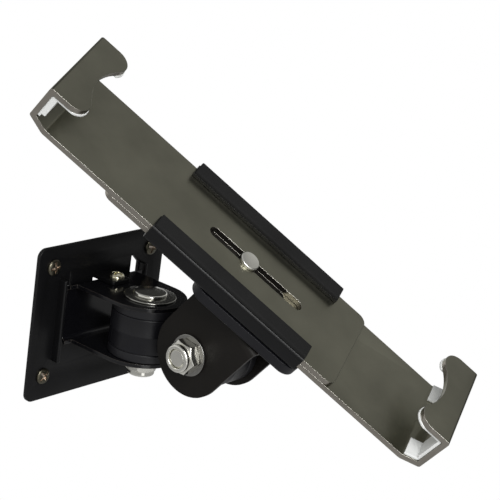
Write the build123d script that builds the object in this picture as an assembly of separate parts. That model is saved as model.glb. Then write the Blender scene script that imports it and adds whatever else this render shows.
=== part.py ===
"""Lean-back wall holder for a small flat screen: wall plate, two-axis arm and two sliding corner jaws.

Frame: millimetres, origin at the centre of the four wall screws on the plate's back face, +X along
the wall to the right, +Y into the wall, +Z up. The pose is leaned back, with both jaws partly drawn out.
"""
import os
from math import cos, radians, sin, sqrt

from build123d import *

# Wall plate
plate_width = 77.4
plate_height = 70.2
plate_center_z = -1.1
plate_sheet = 1.8
plate_corner = 4.0
hole_spacing_x = 60.0
hole_spacing_z = 50.0
rail_outer_x = 25.6
rail_height = 3.8
rail_length = 38.0
rail_edge_round = 0.5
window_width = 5.0
window_to_rail = 0.6
window_peak = 3.6
window_peak_run = 1.2
tab_width = 10.6
tab_length = 12.6
tab_corner = 1.0

# Wall screws and the screw that locks the arm to the plate
wall_screw_radius = 2.0
wall_screw_neck_radius = 1.7
wall_screw_behind = 7.0
wall_head_radius = 3.8
wall_head_height = 1.7
lock_screw_radius = 1.7
lock_screw_reach = 1.6
lock_screw_from_plate = 9.0
lock_head_radius = 3.5
lock_head_height = 2.7
recess_arm_width = 0.9
recess_length_per_head_radius = 1.25
recess_depth_per_head_height = 0.6
pan_round_per_head_height = 0.55

# Bent brackets: one on the wall plate, one behind the holder
bracket_sheet = 1.6
bracket_outer_height = 27.0
bracket_ear_half_width = 18.2
bracket_axis_to_back = 29.5
bracket_bend = 2.0
swivel_web_half_width = 22.2
swivel_nose_setback = 2.6
swivel_center_z = 2.8

# Knuckle with its two crossed barrels and the nylon rings at the barrel ends
barrel_radius = 15.7
ring_thickness = 3.9
rim_chamfer = 0.35
pivot_distance = 37.3
tilt_axis_rise = 2.5
neck_side_step = 1.15
neck_top_step = 1.45
neck_round = 1.5

# Pivot bolts, washers and lock nuts
bolt_radius = 4.0
bolt_head_radius = 7.3
bolt_head_height = 1.7
bolt_head_round = 0.8
bolt_end_chamfer = 0.6
bolt_end_inside_nut = 0.6
head_washer_radius = 11.4
nut_washer_radius = 8.9
washer_thickness = 1.2
washer_round = 0.3
nut_across_flats = 13.0
nut_hex_height = 5.0
nut_collar_radius = 6.0
nut_collar_height = 2.3
nut_collar_round = 0.8

# Holder pose
lean_back_angle = 51.0
arm_turn_angle = 27.4
holder_rise = 16.5

# Space for the screen and the sheet metal behind it
screen_thickness = 10.5
cushion_thickness = 1.8
cushion_width = 7.8
cushion_setback = 0.3
cushion_round = 0.5
sleeve_sheet = 1.6
sleeve_half_length = 40.0
sleeve_flange = 8.0
sleeve_bend = 0.4
base_length = 54.0
base_center_a = -15.0
base_thickness = 5.35
base_corner = 6.0
base_chamfer = 0.8

# Jaws
jaw_sheet = 2.4
jaw_width = 48.0
jaw_reach = 104.7
jaw_bend = 0.6
upper_tail = 56.0
lower_tail = 63.0
lip_depth = 16.2
lip_notch_depth = 11.0
lobe_radius = 6.6
slope_run = 8.4
slope_drop = 3.3
corner_window_half_width = 13.0
corner_window_floor = 1.4
corner_window_radius = 2.0
tail_corner = 4.0
pad_thickness = 1.2
upper_wall_pad_thickness = 2.8
lower_wall_pad_thickness = 1.4
pad_setback = 0.4
pad_inner_edge = 13.4
pad_bend = 0.1
pad_foot_rise = 2.1
floor_pad_length = 5.8

# Jaw travel, its stop pin and the screws that clamp the arms
travel_out = 26.0
travel_in = 18.0
stop_pin_radius = 2.5
stop_head_radius = 4.5
stop_head_height = 1.3
stop_head_round = 0.6
stop_pin_seat = 2.0
clamp_screw_radius = 3.0
clamp_screw_head_radius = 4.6
clamp_screw_head_height = 4.0
clamp_screw_head_round = 0.5
clamp_screw_socket_radius = 2.2
clamp_screw_socket_depth = 2.4
# Each clamp screw's place along the arms, and how far it lies in from their edge
clamp_screw_places = [(4.0, 6.0), (-34.0, 7.0)]
web_screw_radius = 2.0
web_screw_depth = 4.4
web_hole_spare = 0.3
web_screw_head_radius = 3.6
web_screw_head_height = 2.2
web_screw_spacing_x = 12.0
web_screw_spacing_v = 23.0

# Clearances
pivot_clearance = 0.08
hole_clearance = 0.2
thread_clearance = 0.05
slide_gap = 0.15
side_gap = 0.3
face_gap = 0.05

# How far a cutting shape runs past the face that it cuts
overrun = 1.0

# Depths measured from the screen's front face, worked out from the stack behind it
sleeve_front = -(screen_thickness + cushion_thickness)
upper_arm_back = sleeve_front - sleeve_sheet - slide_gap - jaw_sheet
lower_arm_back = upper_arm_back - slide_gap - jaw_sheet
sleeve_floor = lower_arm_back - slide_gap
sleeve_back = sleeve_floor - sleeve_sheet
base_back = sleeve_back - base_thickness
face_to_tilt_axis = bracket_axis_to_back - base_back
lip_top = pad_thickness + jaw_sheet

# Places in the wall frame
lock_screw_y = -plate_sheet - lock_screw_from_plate
swivel_y = -plate_sheet - bracket_axis_to_back
ear_inner_height = bracket_outer_height - 2 * bracket_sheet
swivel_ear_top = swivel_center_z + bracket_outer_height / 2
tilt_y = swivel_y - pivot_distance
tilt_z = swivel_center_z + tilt_axis_rise
barrel_length = ear_inner_height - 2 * ring_thickness - 2 * face_gap
neck_half_width = barrel_length / 2 - neck_side_step
neck_height = barrel_length - 2 * neck_top_step
sleeve_inner_half = jaw_width / 2 + side_gap
sleeve_outer_half = sleeve_inner_half + sleeve_sheet
base_width = 2 * sleeve_outer_half

lean = radians(lean_back_angle)
screen_up = Vector(0, sin(lean), cos(lean))
screen_out = Vector(0, -cos(lean), sin(lean))

swivel_plane = Plane(origin=(0, swivel_y, swivel_center_z))
tilt_plane = Plane(origin=(0, tilt_y, tilt_z), x_dir=screen_up, z_dir=(1, 0, 0))
screen_plane = Plane(
    origin=tilt_plane.origin + screen_up * holder_rise + screen_out * face_to_tilt_axis,
    x_dir=(1, 0, 0),
    z_dir=screen_out,
)
holder = screen_plane.location * Rotation(0, 0, 90 + arm_turn_angle)
flipped = Rotation(0, 0, 180)


def cylinder(radius, low, high):
    """A round bar along Z from low to high."""
    return Pos(0, 0, low) * Cylinder(radius, high - low, align=(Align.CENTER, Align.CENTER, Align.MIN))


def block(x_low, x_high, y_low, y_high, z_low, z_high):
    """A box given by its two corners."""
    size = (x_high - x_low, y_high - y_low, z_high - z_low)
    return Pos(x_low, y_low, z_low) * Box(*size, align=(Align.MIN, Align.MIN, Align.MIN))


def sheet_profile(points, outer_radius, thickness):
    """The closed section of a folded sheet whose outer face runs along the points."""
    line = FilletPolyline(*points, radius=outer_radius)
    return make_face(offset(line, thickness, side=Side.RIGHT))


def cross_recess(head_radius, head_top, depth):
    """The cross-shaped recess of a screw driver, cut from above into a head."""
    length = recess_length_per_head_radius * head_radius
    arm = Pos(0, 0, head_top) * Box(length, recess_arm_width, 2 * depth)
    return arm + Rotation(0, 0, 90) * arm


def pan_screw(radius, length, head_radius, head_height):
    """A pan-head screw along Z: the head's seat is at zero, the shank below it."""
    head = cylinder(head_radius, 0, head_height)
    head = fillet(head.edges().sort_by(Axis.Z)[-1], pan_round_per_head_height * head_height)
    recess = cross_recess(head_radius, head_height, recess_depth_per_head_height * head_height)
    return head + cylinder(radius, -length, 0) - recess


def wall_plate():
    """The pressed plate with its four holes, two raised rails and the lock tab."""
    face = Pos(0, plate_center_z) * RectangleRounded(plate_width, plate_height, plate_corner)
    plate = Rotation(90, 0, 0) * extrude(face, plate_sheet)
    for x, z in wall_hole_places():
        hole = cylinder(wall_screw_radius + hole_clearance, 0, plate_sheet)
        plate -= Pos(x, 0, z) * Rotation(90, 0, 0) * hole
    rail_end = rail_length / 2
    rail_inner = rail_outer_x - plate_sheet
    window_outer = rail_inner - window_to_rail
    window_inner = window_outer - window_width
    outline = [
        (window_inner, -rail_end),
        (window_outer, -rail_end),
        (window_outer, rail_end),
        (window_inner + window_peak_run, rail_end + window_peak),
        (window_inner, rail_end + window_peak),
    ]
    window = Rotation(90, 0, 0) * extrude(make_face(Polyline(*outline, close=True)), plate_sheet)
    rail = block(rail_inner, rail_outer_x, -plate_sheet - rail_height, 0, -rail_end, rail_end)
    rail = fillet(rail.edges().group_by(Axis.Y)[0], rail_edge_round)
    for side in (window, mirror(window, Plane.YZ)):
        plate -= side
    for side in (rail, mirror(rail, Plane.YZ)):
        plate += side
    tab_window = block(
        -tab_width / 2, tab_width / 2, -plate_sheet, 0, swivel_ear_top - tab_length, swivel_ear_top
    )
    tab = block(
        -tab_width / 2, tab_width / 2, -plate_sheet - tab_length, 0,
        swivel_ear_top, swivel_ear_top + plate_sheet,
    )
    tab = fillet(tab.edges().filter_by(Axis.Z).group_by(Axis.Y)[0], tab_corner)
    lock_hole = cylinder(lock_screw_radius + hole_clearance, swivel_ear_top, swivel_ear_top + plate_sheet)
    return plate - tab_window + tab - Pos(0, lock_screw_y, 0) * lock_hole


def wall_hole_places():
    """The four hole centres of the wall plate, as X and Z."""
    return [(sx * hole_spacing_x / 2, sz * hole_spacing_z / 2) for sx in (-1, 1) for sz in (-1, 1)]


def wall_screws():
    """Four pan-head wood screws: a plain neck in the plate, then the thicker thread behind it."""
    screw = pan_screw(wall_screw_neck_radius, plate_sheet, wall_head_radius, wall_head_height)
    screw += cylinder(wall_screw_radius, -plate_sheet - wall_screw_behind, -plate_sheet)
    return [Pos(x, -plate_sheet, z) * Rotation(90, 0, 0) * screw for x, z in wall_hole_places()]


def lock_screw():
    """The upright screw that locks the swivel bracket under the plate's tab."""
    length = plate_sheet + bracket_sheet + lock_screw_reach
    screw = pan_screw(lock_screw_radius, length, lock_head_radius, lock_head_height)
    return Pos(0, lock_screw_y, swivel_ear_top + plate_sheet) * screw


def bent_bracket(web_half_width, nose_setback):
    """A U bracket: bolt axis along Z at the origin, web at +Y, two round-nosed ears.

    The noses are centred on the bolt, or set back from it toward the web.
    """
    top = bracket_outer_height / 2
    back = bracket_axis_to_back
    nose = bracket_ear_half_width
    outer = bracket_bend + bracket_sheet
    points = [(-nose, top), (back, top), (back, -top), (-nose, -top)]
    section = Plane.YZ * sheet_profile(points, outer, bracket_sheet)
    bent = extrude(section, web_half_width, both=True)
    ear_length = back - nose_setback
    ears = Pos(0, nose_setback) * Circle(nose)
    ears += Pos(0, back - ear_length / 2) * Rectangle(2 * nose, ear_length)
    web = Pos(0, back - outer / 2) * Rectangle(2 * web_half_width, outer)
    bent &= extrude(ears + web, top, both=True)
    return bent - cylinder(bolt_radius + hole_clearance, -top, top)


def swivel_bracket():
    """The bracket between the plate's rails, with the lock screw's hole in its upper ear."""
    bracket = bent_bracket(swivel_web_half_width, swivel_nose_setback)
    lock_place = lock_screw_y - swivel_y
    top = bracket_outer_height / 2
    lock_hole = cylinder(lock_screw_radius + thread_clearance, top - bracket_sheet, top)
    return swivel_plane * (bracket - Pos(0, lock_place, 0) * lock_hole)


def tilt_bracket():
    """The bracket behind the holder, with four screw holes in its web."""
    bracket = bent_bracket(bracket_ear_half_width, 0)
    for v, x in web_screw_places():
        hole = Rotation(-90, 0, 0) * cylinder(web_screw_radius + hole_clearance, 0, bracket_sheet)
        bracket -= Pos(v, bracket_axis_to_back - bracket_sheet, x) * hole
    return tilt_plane * bracket


def web_screw_places():
    """The four screws of the tilt bracket's web, as places along its height and its width."""
    return [
        (sv * web_screw_spacing_v / 2, sx * web_screw_spacing_x / 2) for sv in (-1, 1) for sx in (-1, 1)
    ]


def web_screws():
    """Four pan-head screws that hold the tilt bracket to the holder's base."""
    length = bracket_sheet + web_screw_depth
    screw = pan_screw(web_screw_radius, length, web_screw_head_radius, web_screw_head_height)
    seat = bracket_axis_to_back - bracket_sheet
    return [tilt_plane * Pos(v, seat, x) * Rotation(90, 0, 0) * screw for v, x in web_screw_places()]


def pivot_bolt():
    """A low-headed bolt along Z, its head above the upper ear and its end inside the nut."""
    ear = bracket_outer_height / 2
    head_seat = ear + washer_thickness
    nut_end = -ear - washer_thickness - nut_hex_height - nut_collar_height
    head = cylinder(bolt_head_radius, head_seat, head_seat + bolt_head_height)
    head = fillet(head.edges().sort_by(Axis.Z)[-1], bolt_head_round)
    shank = cylinder(bolt_radius, nut_end + bolt_end_inside_nut, head_seat)
    return head + chamfer(shank.edges().sort_by(Axis.Z)[0], bolt_end_chamfer)


def washer(radius, low):
    """A flat washer whose lower face is at the given height."""
    ring = cylinder(radius, low, low + washer_thickness)
    ring = fillet(ring.edges().filter_by(GeomType.CIRCLE), washer_round)
    return ring - cylinder(bolt_radius + hole_clearance, low, low + washer_thickness)


def head_washer():
    return washer(head_washer_radius, bracket_outer_height / 2)


def nut_washer():
    return washer(nut_washer_radius, -bracket_outer_height / 2 - washer_thickness)


def lock_nut():
    """A hexagon nut with a round locking collar at its outer end."""
    seat = -bracket_outer_height / 2 - washer_thickness
    hex_low = seat - nut_hex_height
    low = hex_low - nut_collar_height
    hexagon = RegularPolygon(nut_across_flats / 2, 6, major_radius=False)
    body = Pos(0, 0, hex_low) * extrude(hexagon, nut_hex_height)
    corner_radius = nut_across_flats / sqrt(3)
    bevel = cylinder(corner_radius, hex_low, seat)
    body &= chamfer(bevel.edges().filter_by(GeomType.CIRCLE), corner_radius - nut_across_flats / 2)
    collar = cylinder(nut_collar_radius, low, hex_low)
    body += fillet(collar.edges().sort_by(Axis.Z)[0], nut_collar_round)
    return body - cylinder(bolt_radius + thread_clearance, low, seat)


def pivot_ring(end):
    """A nylon ring between an ear and the barrel: end is 1 at the upper ear, -1 at the lower."""
    ear = end * ear_inner_height / 2
    inner = ear - end * ring_thickness
    low, high = min(ear, inner), max(ear, inner)
    ring = cylinder(barrel_radius, low, high)
    ring = chamfer(ring.edges().filter_by(GeomType.CIRCLE), rim_chamfer)
    return ring - cylinder(bolt_radius + hole_clearance, low, high)


def barrel():
    """A barrel along Z, centred on the origin, with softened rims."""
    solid = cylinder(barrel_radius, -barrel_length / 2, barrel_length / 2)
    return chamfer(solid.edges().filter_by(GeomType.CIRCLE), rim_chamfer)


def knuckle():
    """The casting that turns on both bolts: an upright barrel, a level barrel and their neck."""
    neck = block(
        -neck_half_width, neck_half_width, tilt_y, swivel_y,
        swivel_center_z - neck_height / 2, swivel_center_z + neck_height / 2,
    )
    neck = fillet(neck.edges().filter_by(Axis.Y), neck_round)
    solid = swivel_plane * barrel() + tilt_plane * barrel() + neck
    bore = cylinder(bolt_radius + pivot_clearance, -bracket_outer_height, bracket_outer_height)
    return solid - swivel_plane * bore - tilt_plane * bore


def holder_sleeve():
    """The channel folded round both arms, open between its two front flanges."""
    half = sleeve_outer_half
    points = [
        (half - sleeve_flange, sleeve_front),
        (half, sleeve_front),
        (half, sleeve_back),
        (-half, sleeve_back),
        (-half, sleeve_front),
        (sleeve_flange - half, sleeve_front),
    ]
    section = Plane.YZ * sheet_profile(points, sleeve_bend + sleeve_sheet, sleeve_sheet)
    sleeve = extrude(section, sleeve_half_length, both=True)
    sleeve -= cylinder(stop_pin_radius + thread_clearance, sleeve_back, sleeve_floor)
    for place in clamp_screw_locations():
        sleeve -= place * cylinder(clamp_screw_radius + hole_clearance, sleeve_back, sleeve_floor)
    return holder * sleeve


def clamp_screw_locations():
    """The two clamp screws' places on the holder, measured along the arms and in from their edge."""
    return [Pos(along, inset - jaw_width / 2, 0) for along, inset in clamp_screw_places]


def holder_base():
    """The cast pad between the sleeve and the tilt bracket."""
    base = Pos(base_center_a, 0, base_back) * extrude(
        RectangleRounded(base_length, base_width, base_corner), base_thickness
    )
    base = chamfer(base.edges().group_by(Axis.Z)[0], base_chamfer)
    base -= cylinder(stop_pin_radius + thread_clearance, sleeve_back - stop_pin_seat, sleeve_back)
    for place in clamp_screw_locations():
        base -= place * cylinder(clamp_screw_radius + thread_clearance, base_back, sleeve_back)
    base = holder * base
    for v, x in web_screw_places():
        hole = cylinder(web_screw_radius + thread_clearance, 0, web_screw_depth + web_hole_spare)
        base -= tilt_plane * Pos(v, bracket_axis_to_back, x) * Rotation(-90, 0, 0) * hole
    return base


def clamp_screws():
    """Two socket-head screws whose tips bear on the arms through the sleeve's floor."""
    tip = lower_arm_back - face_gap
    seat = base_back
    screw = cylinder(clamp_screw_radius, seat, tip)
    head = cylinder(clamp_screw_head_radius, seat - clamp_screw_head_height, seat)
    head = fillet(head.edges().sort_by(Axis.Z)[0], clamp_screw_head_round)
    socket = extrude(RegularPolygon(clamp_screw_socket_radius, 6), clamp_screw_socket_depth)
    screw = screw + head - Pos(0, 0, seat - clamp_screw_head_height) * socket
    return [holder * place * screw for place in clamp_screw_locations()]


def stop_pin():
    """The headed pin through both arms' slots, which limits how far they travel."""
    head_seat = sleeve_front - sleeve_sheet
    pin = cylinder(stop_pin_radius, sleeve_back - stop_pin_seat, head_seat)
    head = cylinder(stop_head_radius, head_seat, head_seat + stop_head_height)
    return holder * (pin + fillet(head.edges().sort_by(Axis.Z)[-1], stop_head_round))


def lip_outline():
    """The lip seen from the front: two round lobes with a hollow between them.

    X runs outward along the arm with zero at the wall's outer face, Y runs across.
    """
    half = jaw_width / 2
    lobe_y = half - lobe_radius
    lobe_x = lobe_radius - lip_depth
    gap = lip_notch_depth + lobe_x
    notch_radius = (lobe_y**2 + gap**2 - lobe_radius**2) / (2 * (lobe_radius - gap))
    notch = Pos(-lip_notch_depth - notch_radius, 0) * Circle(notch_radius)
    share = notch_radius / (notch_radius + lobe_radius)
    tangent_y = share * lobe_y
    tangent_x = -lip_notch_depth - notch_radius + share * (lobe_x + lip_notch_depth + notch_radius)
    lobes = [Pos(lobe_x, side * lobe_y) * Circle(lobe_radius) for side in (-1, 1)]
    middle = Pos(tangent_x / 2, 0) * Rectangle(-tangent_x, 2 * tangent_y)
    root = Pos(lobe_x / 2, 0) * Rectangle(-lobe_x, jaw_width)
    return root + lobes[0] + lobes[1] + middle - notch


def jaw_points(arm_back, tail):
    """The jaw's outer face in its own section, from the lip's edge round to the arm's tail."""
    return [
        (jaw_reach - lip_depth - overrun, lip_top),
        (jaw_reach, lip_top),
        (jaw_reach, arm_back + slope_drop),
        (jaw_reach - slope_run, arm_back),
        (-tail, arm_back),
    ]


def jaw(arm_back, tail):
    """One jaw: lip, wall and arm folded from one strip, with the arm along X."""
    outer = jaw_bend + jaw_sheet
    section = Plane.XZ * sheet_profile(jaw_points(arm_back, tail), outer, jaw_sheet)
    strip = extrude(section, jaw_width / 2, both=True)
    lip_zone = block(
        jaw_reach - lip_depth - 2 * overrun, jaw_reach - outer, -jaw_width, jaw_width,
        pad_thickness - overrun, lip_top + overrun,
    )
    lip = Pos(jaw_reach, 0, pad_thickness - overrun) * extrude(lip_outline(), jaw_sheet + 2 * overrun)
    strip -= lip_zone - lip
    window_low = arm_back + slope_drop + corner_window_floor
    window_high = pad_thickness
    window = Rectangle(2 * corner_window_half_width, window_high - window_low)
    window = fillet(window.vertices(), corner_window_radius)
    window = Plane.YZ * extrude(window, 2 * outer, both=True)
    strip -= Pos(jaw_reach, 0, (window_high + window_low) / 2) * window
    ends = strip.edges().filter_by(Axis.Z).group_by(Axis.X)[0]
    strip = fillet(ends, tail_corner)
    slot_low = -travel_out - stop_pin_radius - side_gap
    slot_high = travel_in + stop_pin_radius + side_gap
    slot = SlotOverall(slot_high - slot_low, 2 * (stop_pin_radius + side_gap))
    return strip - Pos((slot_low + slot_high) / 2, 0, arm_back) * extrude(slot, jaw_sheet)


def jaw_pads(arm_back, wall_pad_thickness, with_floor):
    """The two soft linings of a jaw, one at each side of its corner window."""
    reach = jaw_reach - jaw_sheet
    half = jaw_width / 2 - pad_setback
    bend_z = arm_back + slope_drop
    points = [(jaw_reach - lip_depth - overrun, pad_thickness), (reach, pad_thickness)]
    if with_floor:
        slope = slope_drop / slope_run
        corner_z = bend_z + jaw_sheet * (sqrt(1 + slope**2) - slope)
        points.append((reach, corner_z))
        points.append((reach - floor_pad_length, corner_z - slope * floor_pad_length))
    else:
        points.append((reach, bend_z + pad_foot_rise))
    section = Plane.XZ * sheet_profile(points, pad_thickness + pad_bend, pad_thickness)
    lining = extrude(section, half, both=True)
    wall_foot = bend_z + jaw_sheet + pad_thickness
    lining += block(
        reach - wall_pad_thickness, reach - pad_thickness / 2, -half, half, wall_foot, pad_thickness / 2
    )
    lining -= block(0, jaw_reach, -pad_inner_edge, pad_inner_edge, 2 * arm_back, lip_top)
    lip_zone = block(0, reach - wall_pad_thickness, -jaw_width, jaw_width, -pad_thickness, 2 * pad_thickness)
    lip_shape = Pos(jaw_reach - pad_setback, 0, -pad_thickness) * extrude(lip_outline(), 3 * pad_thickness)
    lining -= lip_zone - lip_shape
    return sorted(lining.solids(), key=lambda solid: solid.center().Y)


def sleeve_cushions():
    """The two soft strips on the sleeve's front flanges that the screen's back rests on."""
    outer = sleeve_outer_half - cushion_setback
    half_length = sleeve_half_length - cushion_setback
    strip = block(
        -half_length, half_length, outer - cushion_width, outer,
        sleeve_front, sleeve_front + cushion_thickness,
    )
    strip = fillet(strip.edges().group_by(Axis.Z)[-1], cushion_round)
    return [holder * strip, holder * flipped * strip]


def add_pivot(nodes, name, plane):
    """Add one pivot's bolt, washers, nut and nylon rings, which are the same on both axes."""
    nodes[f"{name}_bolt"] = plane * pivot_bolt()
    nodes[f"{name}_head_washer"] = plane * head_washer()
    nodes[f"{name}_nut_washer"] = plane * nut_washer()
    nodes[f"{name}_lock_nut"] = plane * lock_nut()
    nodes[f"{name}_ring_head_side"] = plane * pivot_ring(1)
    nodes[f"{name}_ring_nut_side"] = plane * pivot_ring(-1)


def build_nodes():
    """Every separate piece of the holder, by name."""
    nodes = {
        "wall_plate": wall_plate(),
        "wall_screws": Compound(children=wall_screws()),
        "bracket_lock_screw": lock_screw(),
        "swivel_bracket": swivel_bracket(),
        "knuckle": knuckle(),
        "tilt_bracket": tilt_bracket(),
        "tilt_bracket_screws": Compound(children=web_screws()),
        "holder_base": holder_base(),
        "holder_sleeve": holder_sleeve(),
        "arm_stop_pin": stop_pin(),
        "upper_jaw": holder * jaw(upper_arm_back, upper_tail),
        "lower_jaw": holder * flipped * jaw(lower_arm_back, lower_tail),
    }
    add_pivot(nodes, "swivel", swivel_plane)
    add_pivot(nodes, "tilt", tilt_plane)
    for side, screw in zip(("upper", "lower"), clamp_screws()):
        nodes[f"arm_clamp_screw_{side}"] = screw
    for side, cushion in zip(("left", "right"), sleeve_cushions()):
        nodes[f"sleeve_cushion_{side}"] = cushion
    upper_pads = jaw_pads(upper_arm_back, upper_wall_pad_thickness, with_floor=False)
    lower_pads = jaw_pads(lower_arm_back, lower_wall_pad_thickness, with_floor=True)
    for side, pad in zip(("right", "left"), upper_pads):
        nodes[f"upper_jaw_pad_{side}"] = holder * pad
    for side, pad in zip(("left", "right"), lower_pads):
        nodes[f"lower_jaw_pad_{side}"] = holder * flipped * pad
    return nodes


os.makedirs("parts", exist_ok=True)
for node_name, shape in build_nodes().items():
    export_step(shape, f"parts/{node_name}.step")
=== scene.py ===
"""Tilting wall mount with two sliding jaws, dressed in its real finishes and lit for its photograph.

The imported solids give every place. Lengths are written in millimetres, and are brought to metres where a
mesh is made.
"""
from math import asin, cos, pi, radians, sin, tan

import bmesh
import bpy
import numpy as np
from mathutils import Matrix, Vector


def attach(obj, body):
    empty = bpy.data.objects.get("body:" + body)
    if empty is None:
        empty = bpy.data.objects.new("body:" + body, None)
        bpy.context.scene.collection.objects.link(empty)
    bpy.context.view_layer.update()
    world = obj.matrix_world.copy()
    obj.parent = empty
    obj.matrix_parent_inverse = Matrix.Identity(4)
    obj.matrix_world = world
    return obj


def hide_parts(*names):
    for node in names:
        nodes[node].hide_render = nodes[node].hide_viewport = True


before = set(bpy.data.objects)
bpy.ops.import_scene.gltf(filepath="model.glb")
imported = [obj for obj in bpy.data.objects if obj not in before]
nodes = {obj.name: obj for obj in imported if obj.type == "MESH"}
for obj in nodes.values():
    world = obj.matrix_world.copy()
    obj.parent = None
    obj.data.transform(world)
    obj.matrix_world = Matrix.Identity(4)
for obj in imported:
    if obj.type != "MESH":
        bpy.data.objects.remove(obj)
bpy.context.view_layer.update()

# The camera stands left of the holder and a little above it, looking along the wall and slightly down.
# Its place and its lens were solved from the straight edges in the photograph.
camera_data = bpy.data.cameras.new("camera")
camera_data.lens = 119.6
camera_data.sensor_width = 36.0
camera_data.clip_start = 0.01
camera = bpy.data.objects.new("camera", camera_data)
camera_right = Vector((0.6403, -0.7561, 0.1358))
camera_up = Vector((0.1481, 0.2950, 0.9440))
camera_forward = Vector((0.7537, 0.5843, -0.3008))
camera_turn = Matrix((camera_right, camera_up, -camera_forward)).transposed().to_4x4()
camera.matrix_world = Matrix.Translation((-0.5075, -0.4750, 0.2556)) @ camera_turn
scene = bpy.context.scene
scene.collection.objects.link(camera)
scene.camera = camera
scene.view_settings.view_transform = "Standard"

# The studio: a white sweep behind the holder, a bright band low round the room, a darker ceiling, and dark
# patches across from the camera and high behind the holder. The sweep is white for the camera, and metal
# that faces it shows it too.
world = bpy.data.worlds.new("studio")
scene.world = world
world.use_nodes = True
sky = world.node_tree.nodes
sky_link = world.node_tree.links.new
sky.clear()
direction = sky.new("ShaderNodeTexCoord")
height = sky.new("ShaderNodeSeparateXYZ")
sky_link(direction.outputs["Generated"], height.inputs[0])
room = sky.new("ShaderNodeValToRGB")
room.color_ramp.elements[0].position = 0.0
room.color_ramp.elements[0].color = (0.35, 0.35, 0.36, 1)
room.color_ramp.elements[1].position = 1.0
room.color_ramp.elements[1].color = (0.45, 0.45, 0.46, 1)
for place, level in ((0.5, 0.75), (0.72, 0.62), (0.86, 0.25)):
    stop = room.color_ramp.elements.new(place)
    stop.color = (level, level, 0.98 * level, 1)
upward = sky.new("ShaderNodeMapRange")
upward.inputs["From Min"].default_value = -1.0
sky_link(height.outputs["Z"], upward.inputs["Value"])
sky_link(upward.outputs[0], room.inputs[0])


def toward(way, first, last, before, past):
    """A share that runs smoothly from one value to another as a ray turns toward a way. Two cosines of the
    angle between ray and way say where it starts and where it ends."""
    cosine = sky.new("ShaderNodeVectorMath")
    cosine.operation = "DOT_PRODUCT"
    cosine.inputs[1].default_value = way
    sky_link(direction.outputs["Generated"], cosine.inputs[0])
    share = sky.new("ShaderNodeMapRange")
    share.interpolation_type = "SMOOTHSTEP"
    share.inputs["From Min"].default_value = first
    share.inputs["From Max"].default_value = last
    share.inputs["To Min"].default_value = before
    share.inputs["To Max"].default_value = past
    sky_link(cosine.outputs["Value"], share.inputs["Value"])
    return share.outputs[0]


def dimmed(light, share):
    """A light multiplied by a share."""
    product = sky.new("ShaderNodeVectorMath")
    product.operation = "SCALE"
    sky_link(light, product.inputs[0])
    sky_link(share, product.inputs["Scale"])
    return product.outputs[0]


def combined(operation, first, second):
    """The larger of two shares, or their product, as the operation says."""
    result = sky.new("ShaderNodeMath")
    result.operation = operation
    sky_link(first, result.inputs[0])
    sky_link(second, result.inputs[1])
    return result.outputs[0]


across_from_camera, high_behind = (0.78, -0.60, -0.18), (0.71, 0.59, 0.38)
walls = dimmed(room.outputs[0], toward(across_from_camera, 0.55, 0.90, 1.0, 0.08))
walls = dimmed(walls, toward(high_behind, 0.86, 0.96, 1.0, 0.05))
sweep = toward(camera_forward, 0.89, 0.95, 0.0, 1.0)
ray = sky.new("ShaderNodeLightPath")
mirror_ray = combined("MAXIMUM", ray.outputs["Is Glossy Ray"], ray.outputs["Is Transmission Ray"])
white_share = combined("MAXIMUM", ray.outputs["Is Camera Ray"], combined("MULTIPLY", mirror_ray, sweep))
sky_colour = sky.new("ShaderNodeMix")
sky_colour.data_type = "RGBA"
sky_colour.inputs["B"].default_value = (1, 1, 1, 1)
sky_link(white_share, sky_colour.inputs["Factor"])
sky_link(walls, sky_colour.inputs["A"])
background = sky.new("ShaderNodeBackground")
sky_link(sky_colour.outputs["Result"], background.inputs["Color"])
sky_output = sky.new("ShaderNodeOutputWorld")
sky_link(background.outputs[0], sky_output.inputs[0])


def softbox(name, place, size, watts):
    """A square area lamp at a place, turned to the holder's centre."""
    lamp = bpy.data.lights.new(name, "AREA")
    lamp.size = size
    lamp.energy = watts
    aim = Vector((0.0, -0.08, 0.03))
    box = bpy.data.objects.new(name, lamp)
    box.location = place
    box.rotation_euler = (aim - Vector(place)).to_track_quat("-Z", "Y").to_euler()
    scene.collection.objects.link(box)


softbox("key_softbox", (-0.7, -0.9, 1.1), 0.6, 9.0)
softbox("camera_side_softbox", (-0.53, -0.95, 0.45), 0.42, 5.0)
softbox("low_softbox", (-0.42, -0.95, -0.35), 0.4, 0.5)

# The pale floor of the room lies 1.2 m below the holder, which hangs on a wall. It lights the holder from
# below, and the camera sees it as white.
floor_mesh = bpy.data.meshes.new("floor")
floor_half, floor_height = 6, -1.2
floor_corners = [
    (side_x * floor_half, side_y * floor_half, floor_height)
    for side_x, side_y in ((-1, -1), (1, -1), (1, 1), (-1, 1))
]
floor_mesh.from_pydata(floor_corners, [], [(0, 1, 2, 3)])
floor = bpy.data.objects.new("floor", floor_mesh)
scene.collection.objects.link(floor)
floor_paint = bpy.data.materials.new("floor_paint")
floor_paint.use_nodes = True
floor_nodes = floor_paint.node_tree.nodes
floor_link = floor_paint.node_tree.links.new
floor_nodes["Principled BSDF"].inputs["Base Color"].default_value = (0.8, 0.8, 0.8, 1)
floor_nodes["Principled BSDF"].inputs["Roughness"].default_value = 0.8
floor_white = floor_nodes.new("ShaderNodeEmission")
floor_ray = floor_nodes.new("ShaderNodeLightPath")
floor_mix = floor_nodes.new("ShaderNodeMixShader")
floor_link(floor_ray.outputs["Is Camera Ray"], floor_mix.inputs[0])
floor_link(floor_nodes["Principled BSDF"].outputs[0], floor_mix.inputs[1])
floor_link(floor_white.outputs[0], floor_mix.inputs[2])
floor_link(floor_mix.outputs[0], floor_nodes["Material Output"].inputs[0])
floor_mesh.materials.append(floor_paint)


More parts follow.
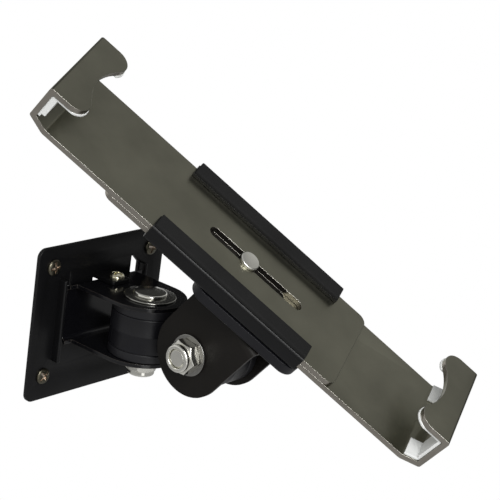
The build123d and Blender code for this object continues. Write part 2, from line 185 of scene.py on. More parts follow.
# The wall plate is one black powder-coated pressing: four screw holes, two raised rails beside their
# punched windows, and the tab under which the bracket is hooked.
def finish(
    name, colour, metallic, roughness, grain, depth,
    drift=0.12, edge_wear_and_highlight=None, edge=0.3, shine=0.5, lay=None, bared=None
):
    """A surface with a raised grain, a slow drift of tone and gloss, and softened edges that may be painted
    lighter.

    The grain's size, its depth and the edge's softness are in millimetres. A lay is a turned frame whose X
    the grain is drawn out along, as hair lines are. An edge colour is painted along the edges, by how far the
    soft edge turns from the face, in patches: it stands partly for wear of the paint or plating and partly
    for a painted highlight on the edge. A bared colour shows by the share that is kept on the piece's points.
    """
    material = bpy.data.materials.new(name)
    material.use_nodes = True
    tree = material.node_tree
    link = tree.links.new
    shader = tree.nodes["Principled BSDF"]
    shader.inputs["Metallic"].default_value = metallic
    shader.inputs["Specular IOR Level"].default_value = shine
    place = tree.nodes.new("ShaderNodeTexCoord")
    slow = tree.nodes.new("ShaderNodeTexNoise")
    slow.inputs["Scale"].default_value = 45.0
    slow.inputs["Detail"].default_value = 4.0
    link(place.outputs["Object"], slow.inputs["Vector"])
    fine = tree.nodes.new("ShaderNodeTexNoise")
    fine.inputs["Scale"].default_value = 1000.0 / grain
    fine.inputs["Detail"].default_value = 3.0
    if lay is None:
        link(place.outputs["Object"], fine.inputs["Vector"])
    else:
        drawn = tree.nodes.new("ShaderNodeMapping")
        drawn.vector_type = "TEXTURE"
        drawn.inputs["Rotation"].default_value = lay.to_euler()
        drawn.inputs["Scale"].default_value = (60, 1, 1)
        link(place.outputs["Object"], drawn.inputs["Vector"])
        link(drawn.outputs[0], fine.inputs["Vector"])
    tone = tree.nodes.new("ShaderNodeValToRGB")
    tone.color_ramp.elements[0].position = 0.3
    tone.color_ramp.elements[0].color = (*[c * (1 - drift) for c in colour], 1)
    tone.color_ramp.elements[1].position = 0.7
    tone.color_ramp.elements[1].color = (*[c * (1 + drift) for c in colour], 1)
    link(slow.outputs["Fac"], tone.inputs[0])
    gloss = tree.nodes.new("ShaderNodeMapRange")
    gloss.inputs["To Min"].default_value = roughness * (1 - drift)
    gloss.inputs["To Max"].default_value = roughness * (1 + drift)
    link(fine.outputs["Fac"], gloss.inputs["Value"])
    link(gloss.outputs[0], shader.inputs["Roughness"])
    soft_edge = tree.nodes.new("ShaderNodeBevel")
    soft_edge.samples = 6
    soft_edge.inputs["Radius"].default_value = edge / 1000
    bump = tree.nodes.new("ShaderNodeBump")
    bump.inputs["Distance"].default_value = depth / 1000
    link(fine.outputs["Fac"], bump.inputs["Height"])
    link(soft_edge.outputs[0], bump.inputs["Normal"])
    link(bump.outputs[0], shader.inputs["Normal"])
    if bared is None and edge_wear_and_highlight is None:
        link(tone.outputs[0], shader.inputs["Base Color"])
        return material
    metal = tree.nodes.new("ShaderNodeMix")
    metal.data_type = "RGBA"
    metal.inputs["B"].default_value = (*(bared or edge_wear_and_highlight), 1)
    link(tone.outputs[0], metal.inputs["A"])
    link(metal.outputs["Result"], shader.inputs["Base Color"])
    if bared is not None:
        share = tree.nodes.new("ShaderNodeAttribute")
        share.attribute_name = "bared"
        link(share.outputs["Fac"], metal.inputs["Factor"])
        return material
    # The edge colour is painted in patches where the soft edge turns away from the face: partly wear, partly
    # a painted highlight along the edge.
    facing = tree.nodes.new("ShaderNodeNewGeometry")
    turn = tree.nodes.new("ShaderNodeVectorMath")
    turn.operation = "DOT_PRODUCT"
    link(facing.outputs["Normal"], turn.inputs[0])
    link(soft_edge.outputs[0], turn.inputs[1])
    edge_wear_and_highlight_share = tree.nodes.new("ShaderNodeMapRange")
    edge_wear_and_highlight_share.inputs["From Min"].default_value = 0.97
    edge_wear_and_highlight_share.inputs["From Max"].default_value = 0.80
    link(turn.outputs["Value"], edge_wear_and_highlight_share.inputs["Value"])
    patchy = tree.nodes.new("ShaderNodeMath")
    patchy.operation = "MULTIPLY"
    link(edge_wear_and_highlight_share.outputs[0], patchy.inputs[0])
    link(slow.outputs["Fac"], patchy.inputs[1])
    link(patchy.outputs[0], metal.inputs["Factor"])
    return material


def dress(material, *names):
    """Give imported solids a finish."""
    for name in names:
        mesh = nodes[name].data
        mesh.materials.clear()
        mesh.materials.append(material)


# The powder coat's edges are painted a little lighter: partly wear, partly a painted highlight on the edges.
powder_coat = finish(
    "powder_coat", (0.0042, 0.0042, 0.0047), 0.0, 0.36, 0.5, 0.015, 0.2,
    edge_wear_and_highlight=(0.03, 0.03, 0.028), shine=0.25
)


def rounded_outline(*corners):
    """A closed outline through corners given as x, y and radius. Each corner is rounded by an arc that meets
    both its sides."""
    points = []
    for number, (x, y, radius) in enumerate(corners):
        corner = Vector((x, y))
        before = (Vector(corners[number - 1][:2]) - corner).normalized()
        after = (Vector(corners[(number + 1) % len(corners)][:2]) - corner).normalized()
        half = before.angle(after) / 2
        middle = corner + (before + after).normalized() * radius / sin(half)
        first = corner + before * radius / tan(half) - middle
        last = corner + after * radius / tan(half) - middle
        for share in (0, 0.17, 0.33, 0.5, 0.67, 0.83, 1):
            points.append(middle + first.lerp(last, share).normalized() * radius)
    return points


def join_body(piece, body, slot, *replaced):
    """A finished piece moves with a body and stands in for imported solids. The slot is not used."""
    scene.collection.objects.link(piece)
    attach(piece, body)
    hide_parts(*replaced)


def pressed_sheet(name, outlines, thickness, edge_round, place, material):
    """Flat sheet with rounded edges. It is filled between its outlines, and the holes among them run the
    other way round."""
    sheet = bpy.data.curves.new(name, "CURVE")
    sheet.dimensions = "2D"
    sheet.fill_mode = "BOTH"
    sheet.extrude = thickness / 2 - edge_round
    sheet.bevel_depth = edge_round
    sheet.bevel_resolution = 3
    sheet.offset = -edge_round
    for outline in outlines:
        line = sheet.splines.new("POLY")
        line.points.add(len(outline) - 1)
        line.points.foreach_set("co", [value for x, y in outline for value in (x, y, 0, 1)])
        line.use_cyclic_u = True
    cut = bpy.data.objects.new(name, sheet)
    mesh = bpy.data.meshes.new_from_object(cut)
    bpy.data.objects.remove(cut)
    mesh.transform(Matrix.Scale(0.001, 4) @ place)
    weld = bmesh.new()
    weld.from_mesh(mesh)
    bmesh.ops.remove_doubles(weld, verts=weld.verts, dist=1e-6)
    bmesh.ops.recalc_face_normals(weld, faces=weld.faces)
    weld.to_mesh(mesh)
    weld.free()
    mesh.name = name
    mesh.shade_smooth()
    mesh.set_sharp_from_angle(angle=radians(32))
    mesh.materials.clear()
    mesh.materials.append(material)
    return bpy.data.objects.new(name, mesh)


def at(x, y, z, turn=0.0, axis="Z"):
    """A place in millimetres, turned about one axis by an angle in degrees."""
    return Matrix.Translation((x, y, z)) @ Matrix.Rotation(radians(turn), 4, axis)


plate_half, plate_low, plate_high, plate_corner, plate_sheet = 38.7, -36.2, 34.0, 4, 1.8
plate_outline = rounded_outline(
    (-plate_half, plate_low, plate_corner), (plate_half, plate_low, plate_corner),
    (plate_half, plate_high, plate_corner), (-plate_half, plate_high, plate_corner),
)
wall_hole_x, wall_hole_z, wall_hole_radius = 30, 25, 2.2
hole_turn = np.linspace(2 * pi, 0, 40, endpoint=False)
wall_holes = [
    [(x + wall_hole_radius * cos(turn), z + wall_hole_radius * sin(turn)) for turn in hole_turn]
    for x in (-wall_hole_x, wall_hole_x) for z in (-wall_hole_z, wall_hole_z)
]
window_inner, window_outer, window_foot, window_shoulder, window_peak = 18.2, 23.2, -19, 19, 22.6
right_window = rounded_outline(
    (window_inner, window_foot, 0.4), (window_inner, window_peak, 0.3), (19.4, window_peak, 0.3),
    (window_outer, window_shoulder, 0.4), (window_outer, window_foot, 0.4)
)
# The left window is shorter, and its top is only a slit.
slit_outer, slit_inner, left_foot, left_top = -19.6, -18.5, -10, 15
left_window = rounded_outline(
    (-window_outer, left_foot, 0.4), (-window_outer, left_top, 0.4), (slit_outer, left_top, 0.3),
    (slit_outer, window_peak, 0.2), (slit_inner, window_shoulder, 0.3), (slit_inner, left_foot, 0.4)
)
tab_half, tab_under, tab_top, tab_end, lock_y, lock_hole_radius = 5.3, 16.3, 18.1, -14.4, -10.8, 1.9
tab_gap = rounded_outline(
    (-tab_half, 3.7, 0.4), (-tab_half, tab_under, 0.3), (tab_half, tab_under, 0.3), (tab_half, 3.7, 0.4)
)
tab_outline = rounded_outline(
    (-tab_half, tab_end, 1), (tab_half, tab_end, 1), (tab_half, -0.3, 0.3), (-tab_half, -0.3, 0.3)
)
lock_hole = [(lock_hole_radius * cos(turn), lock_y + lock_hole_radius * sin(turn)) for turn in hole_turn]
plate = pressed_sheet(
    "plate_pressing", [plate_outline, *wall_holes, right_window, left_window, tab_gap], plate_sheet, 0.25,
    at(0, -plate_sheet / 2, 0, 90, "X"), powder_coat
)
join_body(plate, "wall", "plate_black", "wall_plate")
tab = pressed_sheet(
    "lock_tab", [tab_outline, lock_hole], plate_sheet, 0.3, at(0, 0, (tab_under + tab_top) / 2), powder_coat
)
join_body(tab, "wall", "plate_black", "wall_plate")


def solid_skin(name, grids, places, material, bared=None):
    """A piece made of closed skins. Each grid is rings of points in millimetres, joined in order, and one
    copy of every grid is set down at each place. The rings that shrink to a point close the skin.

    The bared share is kept on the points, and says where a finish shows its own metal.
    """
    points, faces, start = [], [], 0
    for grid in grids:
        rows, around = grid.shape[:2]
        index = np.arange(rows * around).reshape(rows, around)
        low, high = index[:-1], index[1:]
        quads = np.stack([low, np.roll(low, -1, 1), np.roll(high, -1, 1), high], -1).reshape(-1, 4)
        for place in places:
            turned_points = grid.reshape(-1, 3) @ np.array(place.to_3x3()).T
            points.append(turned_points + np.array(place.translation))
            faces.append(quads + start)
            start += rows * around
    mesh = bpy.data.meshes.new(name)
    mesh.from_pydata((np.concatenate(points) / 1000).tolist(), [], np.concatenate(faces).tolist())
    if bared is not None:
        share = mesh.attributes.new("bared", "FLOAT", "POINT")
        share.data.foreach_set("value", np.tile(bared.ravel(), len(places)))
    weld = bmesh.new()
    weld.from_mesh(mesh)
    bmesh.ops.remove_doubles(weld, verts=weld.verts, dist=1e-7)
    bmesh.ops.recalc_face_normals(weld, faces=weld.faces)
    weld.to_mesh(mesh)
    weld.free()
    mesh.shade_smooth()
    mesh.set_sharp_from_angle(angle=radians(32))
    mesh.materials.append(material)
    return bpy.data.objects.new(name, mesh)


def rounded_block(low, high, radius, steps=7):
    """Rings of a block with round edges: a ball's points, each pushed out to its corner of the block."""
    middle = (np.array(low) + np.array(high)) / 2
    half_x, half_y, half_z = (np.array(high) - np.array(low)) / 2 - radius
    quarter = np.linspace(0, pi / 2, steps)
    around = np.concatenate([quarter + corner * pi / 2 for corner in range(4)])
    lift = np.concatenate([-quarter[::-1], quarter])[:, None]
    across = half_x * np.repeat([1, -1, -1, 1], steps) + radius * np.cos(lift) * np.cos(around)
    along = half_y * np.repeat([1, 1, -1, -1], steps) + radius * np.cos(lift) * np.sin(around)
    rise = half_z * np.repeat([-1, 1], steps)[:, None] + radius * np.sin(lift) + 0 * around
    skin = np.stack([across, along, rise], -1)
    ends = [np.repeat(skin[end].mean(0)[None, None], skin.shape[1], 1) for end in (0, -1)]
    return np.concatenate([ends[0], skin, ends[1]]) + middle


rail_x, rail_half, rail_front, rail_back, rail_reach = 24.7, 0.9, -5.6, -0.2, 19
rails = [
    rounded_block((side - rail_half, rail_front, -rail_reach), (side + rail_half, rail_back, rail_reach), 0.7)
    for side in (-rail_x, rail_x)
]
rail_pair = solid_skin("bracket_rails", rails, [at(0, 0, 0)], powder_coat)
join_body(rail_pair, "wall", "plate_black", "wall_plate")

# Four pan-head wood screws hold the plate to the wall. They are dull nickel-plated steel with a cross recess,
# and each was driven home at its own angle.
def cross_screw(shank, length, neck, neck_length, head, height, pitch):
    """Rings of a pan-head screw, tip first: thread, plain neck, flat seat and a domed head with a cross pit.

    The shank's radius rises and falls once in a pitch and once round, so the ridge is a helix. The pit's
    depth is one value over the cross, and fades to nothing over its arms' sides and ends. The driver has
    bared the metal in the pit.
    """
    thread_depth, rim_height, pit_depth = 0.28 * pitch, 0.3, 0.75 * height
    arm_half, arm_reach, side_slope, end_slope = 0.6, 0.72 * head, 0.14, 0.3
    angle = np.linspace(0, 2 * pi, 96, endpoint=False)
    along = np.arange(-length, -neck_length, pitch / 8)[:, None]
    ridge = 1 - np.abs(2 * ((along / pitch - angle / (2 * pi)) % 1) - 1)
    taper = np.clip(0.4 + (along + length) / (0.8 * shank), 0, 1)
    thread = (shank - thread_depth * (1 - ridge)) * taper
    lift = np.linspace(0, pi / 2, 40)[:, None]
    dome = head * np.cos(lift) * np.ones_like(angle)
    side_x, side_y = np.abs(dome * np.cos(angle)), np.abs(dome * np.sin(angle))
    across = np.minimum(side_x, side_y)
    outward = np.maximum(side_x, side_y)
    pit = np.clip((arm_half - across) / side_slope, 0, 1) * np.clip((arm_reach - outward) / end_slope, 0, 1)
    top = height * (rim_height + (1 - rim_height) * np.sin(lift)) - pit_depth * pit
    flat = np.ones((1, angle.size))
    radius = np.concatenate([0 * flat, thread, neck * flat, neck * flat, head * flat, dome])
    rise = np.concatenate([-length * flat, along * flat, -neck_length * flat, 0 * flat, 0 * flat, top])
    bared = np.concatenate([np.zeros((radius.shape[0] - len(pit), angle.size)), pit])
    return np.stack([radius * np.cos(angle), radius * np.sin(angle), rise], -1), bared


def set_down(name, grids, places, material, body, slot, replaced, bared=None):
    """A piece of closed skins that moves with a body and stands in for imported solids."""
    join_body(solid_skin(name, grids, places, material, bared), body, slot, *replaced)


wall_screw_rolls = {
    (-wall_hole_x, wall_hole_z): 6, (-wall_hole_x, -wall_hole_z): 38,
    (wall_hole_x, wall_hole_z): -14, (wall_hole_x, -wall_hole_z): 22,
}
wall_screw_places = [
    at(x, -plate_sheet, z, 90, "X") @ at(0, 0, 0, roll) for (x, z), roll in wall_screw_rolls.items()
]
dull_nickel = finish(
    "dull_nickel", (0.13, 0.12, 0.09), 1.0, 0.3, 0.35, 0.012, 0.25, edge=0.15, bared=(0.75, 0.66, 0.58)
)
wall_screw, driven = cross_screw(2.0, 8.8, 1.7, 1.8, 3.6, 1.7, 1.4)
set_down("wall_screw_set", [wall_screw], wall_screw_places, dull_nickel, "wall", "screw_steel",
         ["wall_screws"], driven)

# The lock screw goes down through the plate's tab into the bracket's upper ear.
# It is a small pan-head machine screw with yellowish zinc plating.
yellow_zinc = finish(
    "yellow_zinc", (0.80, 0.76, 0.58), 1.0, 0.2, 0.4, 0.008, 0.12, edge=0.15, bared=(0.9, 0.88, 0.75)
)
lock_screw, driven = cross_screw(1.7, 5.0, 1.7, 0.2, 3.4, 2.7, 0.7)
set_down("lock_screw", [lock_screw], [at(0, lock_y, tab_top, 20)], yellow_zinc, "wall", "zinc",
         ["bracket_lock_screw"], driven)

# The swivel bracket on the plate and the tilt bracket behind the holder are bent from one gauge of sheet
# and painted gloss black. Along the cut edges of the ears the black is painted a lighter brown-grey: partly
# paint thinned by wear, partly a painted highlight on the edges.
gloss_black = finish(
    "gloss_black", (0.004, 0.004, 0.005), 0.0, 0.16, 0.8, 0.006, 0.15, edge_wear_and_highlight=(0.12, 0.10, 0.08)
)
satin_black = finish(
    "satin_black", (0.008, 0.007, 0.006), 0.0, 0.4, 0.5, 0.012, 0.12, edge_wear_and_highlight=(0.05, 0.04, 0.035), shine=0.16
)
dress(gloss_black, "swivel_bracket")
dress(satin_black, "tilt_bracket")


# The knuckle is one casting: an upright barrel for the swivel bolt, a level one for the tilt bolt and a neck
# between them. It is painted satin black, and a mould line runs round the middle of each barrel.
def turned(profile, around=120):
    """Rings of a turned part: each point of its outline, a radius and a height, goes once round the axis."""
    angle = np.linspace(0, 2 * pi, around, endpoint=False)
    radius, rise = np.array(profile, float).T[:, :, None]
    return np.stack([radius * np.cos(angle), radius * np.sin(angle), rise + 0 * angle], -1)


def arc(radius_out, height, round_radius, first, last, steps=6):
    """Points of a rounded edge about a centre, between two angles in degrees."""
    turn = np.radians(np.linspace(first, last, steps))
    return list(zip(radius_out + round_radius * np.cos(turn), height + round_radius * np.sin(turn)))


swivel_pivot, tilt_pivot, lean = (0, -31.3, 2.8), (0, -68.6, 5.3), radians(51)
swivel_place = at(*swivel_pivot)
holder_up = Vector((0, sin(lean), cos(lean)))
holder_out = Vector((0, -cos(lean), sin(lean)))
tilt_place = at(*tilt_pivot) @ Matrix((holder_up, holder_out, (1, 0, 0))).transposed().to_4x4()
barrel_radius, barrel_half, bore = 15.7, 7.95, 4.08
mould_line = barrel_radius + 0.07
barrel = turned(
    [(bore, -barrel_half)] + arc(barrel_radius - 0.5, 0.5 - barrel_half, 0.5, -90, 0)
    + [(barrel_radius, -0.3), (mould_line, -0.1), (mould_line, 0.1), (barrel_radius, 0.3)]
    + arc(barrel_radius - 0.5, barrel_half - 0.5, 0.5, 0, 90) + [(bore, barrel_half), (bore, -barrel_half)]
)
# The neck's section is a rounded square that swells a little where it runs into each barrel.
neck_half_width, neck_half_height, swivel_foot, tilt_foot, foot_fade = 6.8, 6.5, -47, -53, 1.5
neck_along = np.linspace(-58, -42, 33)[:, None]
neck_angle = np.linspace(0, 2 * pi, 96, endpoint=False)
near_swivel = np.exp(-np.abs(neck_along - swivel_foot) / foot_fade)
near_tilt = np.exp(-np.abs(neck_along - tilt_foot) / foot_fade)
swell = 1.2 * (near_swivel + near_tilt)
squareness = (np.abs(np.cos(neck_angle)) ** 8 + np.abs(np.sin(neck_angle)) ** 8) ** (-1 / 8)
neck_skin = np.stack([
    (neck_half_width + 0.8 * swell) * squareness * np.cos(neck_angle),
    neck_along + 0 * neck_angle,
    swivel_pivot[2] + (neck_half_height + swell) * squareness * np.sin(neck_angle),
], -1)
neck_ends = [np.repeat(neck_skin[end].mean(0)[None, None], 96, 1) for end in (0, -1)]
neck = np.concatenate([neck_ends[0], neck_skin, neck_ends[1]])
casting = finish("casting_paint", (0.006, 0.006, 0.008), 0.0, 0.36, 0.9, 0.03, 0.2, edge=0.4, shine=0.3)
set_down("knuckle_casting", [barrel], [swivel_place, tilt_place], casting,
         "knuckle", "casting_black", ["knuckle"])
set_down("knuckle_neck", [neck], [at(0, 0, 0)], casting, "knuckle", "casting_black", ["knuckle"])

# Four nylon rings, one at each end of each barrel, carry the pressure of the lock nuts, so that the joints
# turn stiffly and stay where they are set.
ear_inner, ring_thickness, ring_radius, ring_bore, rim = 11.9, 3.9, 15.7, 4.2, 0.35
ring = turned([
    (ring_bore, ear_inner - ring_thickness), (ring_radius - rim, ear_inner - ring_thickness),
    (ring_radius, ear_inner - ring_thickness + rim), (ring_radius, ear_inner - rim),
    (ring_radius - rim, ear_inner), (ring_bore, ear_inner), (ring_bore, ear_inner - ring_thickness),
])
pivots = (("swivel", swivel_place, "wall"), ("tilt", tilt_place, "holder"))
nylon = finish("nylon", (0.008, 0.008, 0.010), 0.0, 0.42, 1.2, 0.015, 0.15, edge=0.3, shine=0.4)
for pivot, place, body in pivots:
    for end, turn in (("head", 0), ("nut", 180)):
        set_down(f"{pivot}_nylon_ring_{end}", [ring], [place @ at(0, 0, 0, turn, "X")], nylon,
                 body, "nylon_black", [f"{pivot}_ring_{end}_side"])

# Each pivot has a bolt with a low round head, turned from steel and bright zinc plated. Its thread ends just
# inside the lock nut.
washer_top, head_radius, head_height, head_round = 14.7, 7.3, 1.25, 0.8
bolt_end, bolt_radius = -21.4, 4.0
head_top = washer_top + head_height
bolt = turned(
    [(0, bolt_end), (bolt_radius - 0.6, bolt_end), (bolt_radius, bolt_end + 0.6),
     (bolt_radius, washer_top), (head_radius, washer_top)]
    + arc(head_radius - head_round, head_top - head_round, head_round, 0, 90)
    + [(5.0, head_top + 0.2), (3.0, head_top + 0.36), (1.2, head_top + 0.44), (0, head_top + 0.45)]
)
zinc = finish("bright_zinc", (0.84, 0.83, 0.77), 1.0, 0.17, 0.5, 0.006, 0.1, edge=0.2)
for pivot, place, body in pivots:
    set_down(f"{pivot}_pivot_bolt", [bolt], [place], zinc, body, "zinc", [f"{pivot}_bolt"])


# The washers are stamped from zinc-plated steel: a wide one under the bolt's head, which the nut's pull has
# dished a little, and a smaller and duller one under the nut. Stamping leaves their edges rounded.
def washer(radius, low, dish=0.0, thickness=1.2, hole=4.2, edge_round=0.3):
    """Rings of a washer that starts at a height and has rounded outer edges. Its upper face falls outward by
    the dish."""
    high = low + thickness
    outer = arc(radius - edge_round, low + edge_round, edge_round, -90, 0)
    outer += arc(radius - edge_round, high - dish - edge_round, edge_round, 0, 90)
    return turned([(hole, low), *outer, (hole, high), (hole, low)])


head_seat, nut_seat, wide_radius, small_radius = 13.5, -14.7, 11.4, 8.9
stamped_zinc = finish("stamped_zinc", (0.45, 0.445, 0.41), 1.0, 0.22, 0.5, 0.008, 0.12, edge=0.2)
dull_zinc = finish("dull_zinc", (0.30, 0.295, 0.28), 1.0, 0.26, 0.5, 0.008, 0.12, edge=0.2)
for pivot, place, body in pivots:
    set_down(f"{pivot}_wide_washer", [washer(wide_radius, head_seat, 0.4)], [place], stamped_zinc,
             body, "zinc", [f"{pivot}_head_washer"])
    set_down(f"{pivot}_small_washer", [washer(small_radius, nut_seat)], [place], dull_zinc,
             body, "zinc", [f"{pivot}_nut_washer"])

# The lock nuts are hexagons with a round locking collar, bevelled at both ends and bright zinc plated.
# The collar's rim is rolled over.
hex_low, collar_low, flat_half, nut_bore = -19.7, -22.0, 6.5, 4.1
bevel_start, bevel_steepness = 6.35, 1.2
nut_angle = np.linspace(0, 2 * pi, 144, endpoint=False)
hexagon = flat_half / np.cos((nut_angle + pi / 6) % (pi / 3) - pi / 6)
hex_rise = np.concatenate([np.linspace(0, 1.1, 12), np.linspace(3.9, 5.0, 12)])[::-1, None] + hex_low
from_end = np.minimum(hex_rise - hex_low, nut_seat - hex_rise)
hex_radius = np.minimum(hexagon, bevel_start + bevel_steepness * from_end)
hex_rings = np.stack(
    [hex_radius * np.cos(nut_angle), hex_radius * np.sin(nut_angle), hex_rise + 0 * nut_angle], -1
)
collar_radius, rolled_round, lip_round = 6.0, 0.9, 0.35
collar = turned(
    [(collar_radius, hex_low)] + arc(5.1, collar_low + rolled_round, rolled_round, 0, -90, 9)
    + arc(4.5, collar_low + lip_round, lip_round, -90, -180, 5) + [(nut_bore, nut_seat)], 144
)
bore_start = turned([(nut_bore, nut_seat)], 144)
nut = np.concatenate([bore_start, hex_rings, collar])
for pivot, place, body in pivots:
    set_down(f"{pivot}_collar_nut", [nut], [place], zinc, body, "zinc", [f"{pivot}_lock_nut"])

# Four pan-head screws inside the tilt bracket pull its web against the holder's base.
web_face, web_hole_up, web_hole_across = 27.9, 11.5, 6
web_screw_rolls = {
    (-web_hole_up, -web_hole_across): 12, (-web_hole_up, web_hole_across): 50,
    (web_hole_up, -web_hole_across): -25, (web_hole_up, web_hole_across): 3,
}
web_screw_places = [
    tilt_place @ at(up, web_face, across, 90, "X") @ at(0, 0, 0, roll)
    for (up, across), roll in web_screw_rolls.items()
]
web_screw = cross_screw(2.0, 6.0, 2.0, 0.2, 3.6, 2.2, 0.7)[0]
set_down("web_screw_set", [web_screw], web_screw_places, zinc, "holder", "zinc", ["tilt_bracket_screws"])

# The holder's base is a cast pad, and the sleeve on it is folded from sheet round both arms. Both are painted
# black, the casting a little coarser.
dress(casting, "holder_base")
dress(powder_coat, "holder_sleeve")

# Two socket-head screws in the base bear on the arms and clamp them. Their heads are knurled, with a hexagon
# socket.
holder_rise, holder_reach, arm_lean = 16.5, 55.6, 27.4
holder_centre = Vector(tilt_pivot) + holder_rise * holder_up + holder_reach * holder_out
arm_turn = radians(90 + arm_lean)
arm_way = cos(arm_turn) * Vector((1, 0, 0)) + sin(arm_turn) * holder_up
across_way = holder_out.cross(arm_way)
holder_place = Matrix.Translation(holder_centre)
holder_place @= Matrix((arm_way, across_way, holder_out)).transposed().to_4x4()
clamp_seat, clamp_head_low, clamp_tip = -26.1, -30.1, -19.05
socket_floor, head_edge, shank = clamp_head_low + 2.4, 4.4, 3.0
knurl_radius, knurl_depth, knurl_ridges, socket_corner = 4.6, 0.14, 60, 2.2
socket_angle = np.linspace(0, 2 * pi, 144, endpoint=False)
knurl = knurl_radius - knurl_depth * np.abs(np.sin(knurl_ridges / 2 * socket_angle))
socket = socket_corner * cos(pi / 6) / np.cos((socket_angle + pi / 6) % (pi / 3) - pi / 6)
clamp_rings = [
    (0, socket_floor), (socket, socket_floor), (socket, clamp_head_low + 0.2), (socket + 0.2, clamp_head_low),
    (head_edge - 0.3, clamp_head_low), (head_edge, clamp_head_low + 0.15), (knurl, clamp_head_low + 0.5),
    (knurl, clamp_seat - 0.2), (head_edge, clamp_seat), (shank, clamp_seat), (shank, clamp_tip - 0.4),
    (shank - 0.4, clamp_tip), (0, clamp_tip),
]
clamp_screw = np.stack([
    np.stack([radius * np.cos(socket_angle), radius * np.sin(socket_angle), rise + 0 * socket_angle], -1)
    for radius, rise in clamp_rings
])
dark_steel = finish("dark_steel", (0.16, 0.15, 0.14), 1.0, 0.34, 0.3, 0.01, 0.15, edge=0.15)
for end, (along, over) in {"upper": (4, 18), "lower": (-34, 17)}.items():
    set_down(f"clamp_screw_{end}", [clamp_screw], [holder_place @ at(along, -over, 0, 17 * over)],
             dark_steel, "holder", "zinc", [f"arm_clamp_screw_{end}"])

# The stop pin stands in the base, runs through both arms' slots and keeps them from being pulled right out.
# Its low head is turned.
pin_low, pin_seat, pin_top, pin_radius, pin_head_radius, pin_round = -22.75, -13.9, -12.6, 2.5, 4.5, 0.6
stop_pin = turned(
    [(0, pin_low), (2.2, pin_low), (pin_radius, pin_low + 0.3), (pin_radius, pin_seat),
     (pin_head_radius, pin_seat)]
    + arc(3.9, pin_top - pin_round, pin_round, 0, 90) + [(0, pin_top - 0.05)]
)
set_down("stop_pin", [stop_pin], [holder_place], zinc, "holder", "zinc", ["arm_stop_pin"])

# Each jaw is cut and folded from one strip of steel with a satin nickel finish: arm, wall and notched lip.
# The folds are tight, the cut faces are browner, and sliding leaves fine hair lines along the arm. The
# edges are painted near-white, in patches along the satin faces' edges and as a band on the bevelled edges:
# partly wear to bare metal, partly a painted highlight.
satin_nickel = finish(
    "satin_nickel", (0.26, 0.255, 0.20), 1.0, 0.3, 0.3, 0.014, 0.12,
    edge_wear_and_highlight=(0.85, 0.84, 0.80), edge=0.35, lay=holder_place.to_3x3()
)
cut_nickel = finish("cut_nickel", (0.36, 0.335, 0.295), 1.0, 0.3, 0.25, 0.02, 0.15, edge=0.3)
nickel_wear_and_highlight = finish("nickel_wear_and_highlight", (0.93, 0.92, 0.90), 1.0, 0.24, 0.25, 0.01, 0.05, edge=0.1)
jaw_reach, jaw_half, jaw_sheet, wall_inner = 104.7, 24.0, 2.4, 102.3
lip_top, lip_under, lip_depth = 3.6, 1.2, 16.2
cut_corner, inner_fold, outer_fold, arm_inner_fold, arm_outer_fold = 0.01, 0.6, 1.2, 3, 5
inner_bend, outer_bend, inner_foot, outer_foot = 95.846, 96.3, 4.936, 3.3
slot_low, slot_high, slot_half, tail_round = -26, 18, 2.8, 4
window_half, window_round, window_sill = 13, 2, 4.7
lip_root, past_side, past_tip = 101.0, 30, 80
lobe_radius, hollow_radius, hollow_middle = 6.6, 25.11, 36.11
lobe_x, lobe_y = jaw_reach - lip_depth + lobe_radius, jaw_half - lobe_radius
meeting_turn = asin(lobe_y / (hollow_radius + lobe_radius))


def bow(centre_x, centre_y, radius, first, last, steps=14):
    """Points of an arc about a centre, between two angles in radians."""
    turn = np.linspace(first, last, steps)
    return list(zip(centre_x + radius * np.cos(turn), centre_y + radius * np.sin(turn)))


def settle(piece):
    """Works a piece's modifiers into its mesh, and gives the new mesh."""
    bpy.context.view_layer.update()
    settled = bpy.data.meshes.new_from_object(piece.evaluated_get(bpy.context.evaluated_depsgraph_get()))
    piece.modifiers.clear()
    piece.data = settled
    settled.shade_smooth()
    return settled


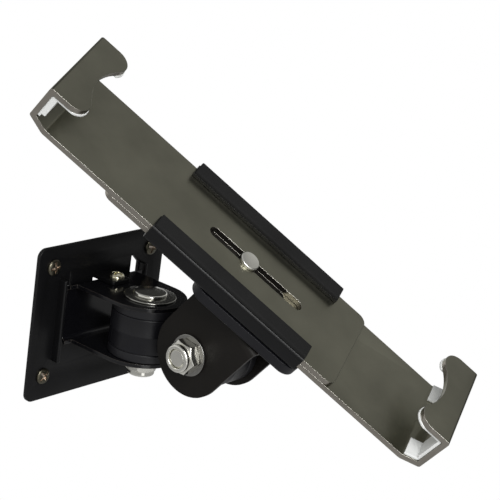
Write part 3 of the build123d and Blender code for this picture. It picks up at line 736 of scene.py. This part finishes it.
def folded_jaw(body, arm_back, tail, place):
    """A jaw: its folded section carried across the width, less the lip's hollow, the corner window, the arm's
    slot and the two corners of its tail. The cut edges are then eased by a hair."""
    inner = arm_back + jaw_sheet
    section = rounded_outline(
        (jaw_reach - lip_depth, lip_top, cut_corner), (jaw_reach - lip_depth, lip_under, cut_corner),
        (wall_inner, lip_under, inner_fold), (wall_inner, arm_back + inner_foot, inner_fold),
        (inner_bend, inner, arm_inner_fold), (-tail, inner, cut_corner), (-tail, arm_back, cut_corner),
        (outer_bend, arm_back, arm_outer_fold), (jaw_reach, arm_back + outer_foot, outer_fold),
        (jaw_reach, lip_top, outer_fold),
    )
    on_edge = place @ at(0, 0, 0, 90, "X")
    strip = pressed_sheet(f"{body}_strip", [section], 2 * jaw_half, 0, on_edge, satin_nickel)
    past_lip = [
        (lip_root, -past_side), (lip_root, -jaw_half),
        *bow(lobe_x, -lobe_y, lobe_radius, -pi / 2, -pi - meeting_turn),
        *bow(jaw_reach - hollow_middle, 0, hollow_radius, -meeting_turn, meeting_turn),
        *bow(lobe_x, lobe_y, lobe_radius, pi + meeting_turn, pi / 2),
        (lip_root, jaw_half), (lip_root, past_side), (past_tip, past_side), (past_tip, -past_side),
    ]
    window_low = arm_back + window_sill
    window = rounded_outline(
        (-window_half, window_low, window_round), (window_half, window_low, window_round),
        (window_half, lip_under, window_round), (-window_half, lip_under, window_round),
    )
    slot = bow(slot_low, 0, slot_half, pi / 2, 3 * pi / 2) + bow(slot_high, 0, slot_half, -pi / 2, pi / 2)
    arm_middle = place @ at(0, 0, arm_back + jaw_sheet / 2)
    cutters = [
        pressed_sheet("past_lip", [past_lip], 4.4, 0, place @ at(0, 0, 2.4), satin_nickel),
        pressed_sheet("window", [window], 12, 0, place @ at(jaw_reach, 0, 0) @ across_arm, satin_nickel),
        pressed_sheet("slot", [slot], 6, 0, arm_middle, satin_nickel),
    ]
    square_side = jaw_half - tail_round
    for side in (-1, 1):
        tail_corner = [
            (-tail - 1, side * square_side),
            *bow(tail_round - tail, side * square_side, tail_round, pi, pi - side * pi / 2),
            (tail_round - tail, side * (jaw_half + 1)), (-tail - 1, side * (jaw_half + 1)),
        ]
        cutters.append(pressed_sheet("tail_corner", [tail_corner], 6, 0, arm_middle, satin_nickel))
    join_body(strip, body, "jaw_chrome", body)
    for cutter in cutters:
        scene.collection.objects.link(cutter)
        cut = strip.modifiers.new("cut", "BOOLEAN")
        cut.operation = "DIFFERENCE"
        cut.solver = "EXACT"
        cut.object = cutter
    rounding = strip.modifiers.new("rounding", "BEVEL")
    rounding.width = 0.0007
    rounding.segments = 3
    rounding.limit_method = "ANGLE"
    rounding.angle_limit = radians(40)
    finished = settle(strip)
    finished.set_sharp_from_angle(angle=radians(32))
    facing = np.zeros(3 * len(finished.polygons))
    finished.polygons.foreach_get("normal", facing)
    sideways = np.abs(facing.reshape(-1, 3) @ np.array(across_way))
    upright = np.abs(facing.reshape(-1, 3) @ np.array(holder_out)) < 0.05
    cut_face = (sideways > 0.3) & upright
    # The bevelled edges take a near-white nickel: partly wear to bare metal, partly a painted highlight.
    edge_wear_and_highlight_faces = (sideways > 0.15) & ~upright
    finished.materials.append(cut_nickel)
    finished.materials.append(nickel_wear_and_highlight)
    finished.polygons.foreach_set("material_index", (cut_face + 2 * edge_wear_and_highlight_faces).astype(np.int32))
    for cutter in cutters:
        bpy.data.objects.remove(cutter)


across_arm = Matrix(((0, 0, 1), (1, 0, 0), (0, 1, 0))).to_4x4()
folded_jaw("upper_jaw", -16.45, 56, holder_place)
folded_jaw("lower_jaw", -19.0, 63, holder_place @ at(0, 0, 0, 180))


# The linings are strips of white foam glued inside the jaws, and the cushions on the sleeve are black foam.
# Cut foam has no sharp edge, so each strip is made over with rounded, slightly full sides.
def foam_strip(node, body, material, slot, grain):
    """A soft copy of a packed strip: its solid is rebuilt from small cells, and relaxed until the edges are
    round."""
    mesh = nodes[node].data.copy()
    weld = bmesh.new()
    weld.from_mesh(mesh)
    bmesh.ops.remove_doubles(weld, verts=weld.verts, dist=1e-6)
    weld.to_mesh(mesh)
    weld.free()
    strip = bpy.data.objects.new(f"{node}_foam", mesh)
    join_body(strip, body, slot, node)
    cells = strip.modifiers.new("cells", "REMESH")
    cells.mode = "VOXEL"
    cells.voxel_size = grain / 1000
    relax = strip.modifiers.new("relax", "SMOOTH")
    relax.factor = 0.5
    relax.iterations = 4
    finished = settle(strip)
    finished.materials.clear()
    finished.materials.append(material)


white_foam = finish("white_foam", (0.78, 0.79, 0.78), 0.0, 0.8, 0.4, 0.05, 0.03, edge=0.1)
black_foam = finish("black_foam", (0.012, 0.012, 0.012), 0.0, 0.9, 0.5, 0.08, 0.15, edge=0.1, shine=0.2)
for jaw in ("upper_jaw", "lower_jaw"):
    for side in ("left", "right"):
        foam_strip(f"{jaw}_pad_{side}", jaw, white_foam, "lining_white", 0.22)
for side in ("left", "right"):
    foam_strip(f"sleeve_cushion_{side}", "holder", black_foam, "cushion_black", 0.3)
